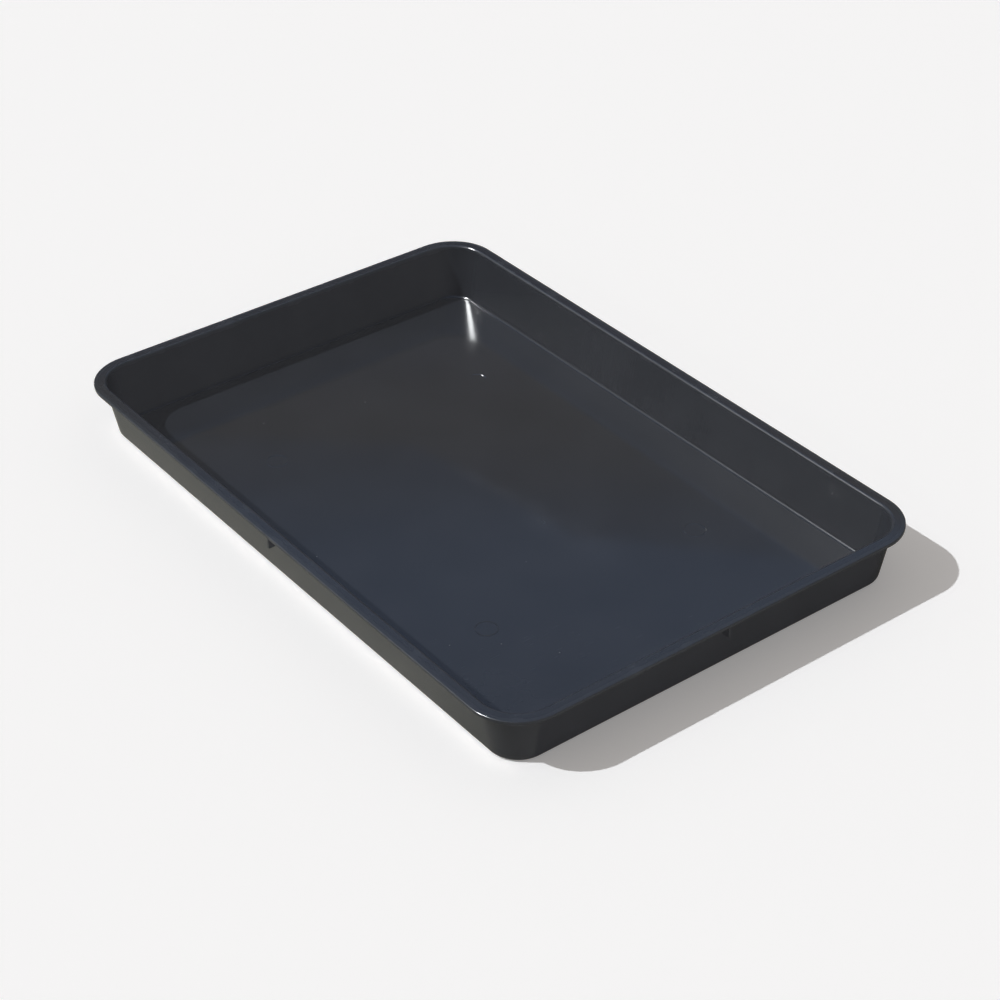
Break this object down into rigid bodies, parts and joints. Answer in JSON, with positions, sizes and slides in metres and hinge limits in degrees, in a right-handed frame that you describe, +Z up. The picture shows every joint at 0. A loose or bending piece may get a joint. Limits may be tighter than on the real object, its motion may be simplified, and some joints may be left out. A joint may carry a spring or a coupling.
{
  "type": "paint tray",
  "caption": "Shallow one-piece moulded plastic paint tray, rectangular with rounded corners, drafted walls, a flanged rim and a level floor.",
  "frame": {"origin": "centre of the base, on the surface that the tray stands on", "axes": "+X along the long side, +Y along the short side, +Z up out of the open top"},
  "size_m": [0.6, 0.406, 0.051],
  "materials": {
    "moulded_plastic": "glossy blue-black moulded polypropylene, smooth, with light handling scuffs on the rim"
  },
  "bodies": {
    "root": {"tray": "moulded_plastic"}
  },
  "joints": []
}
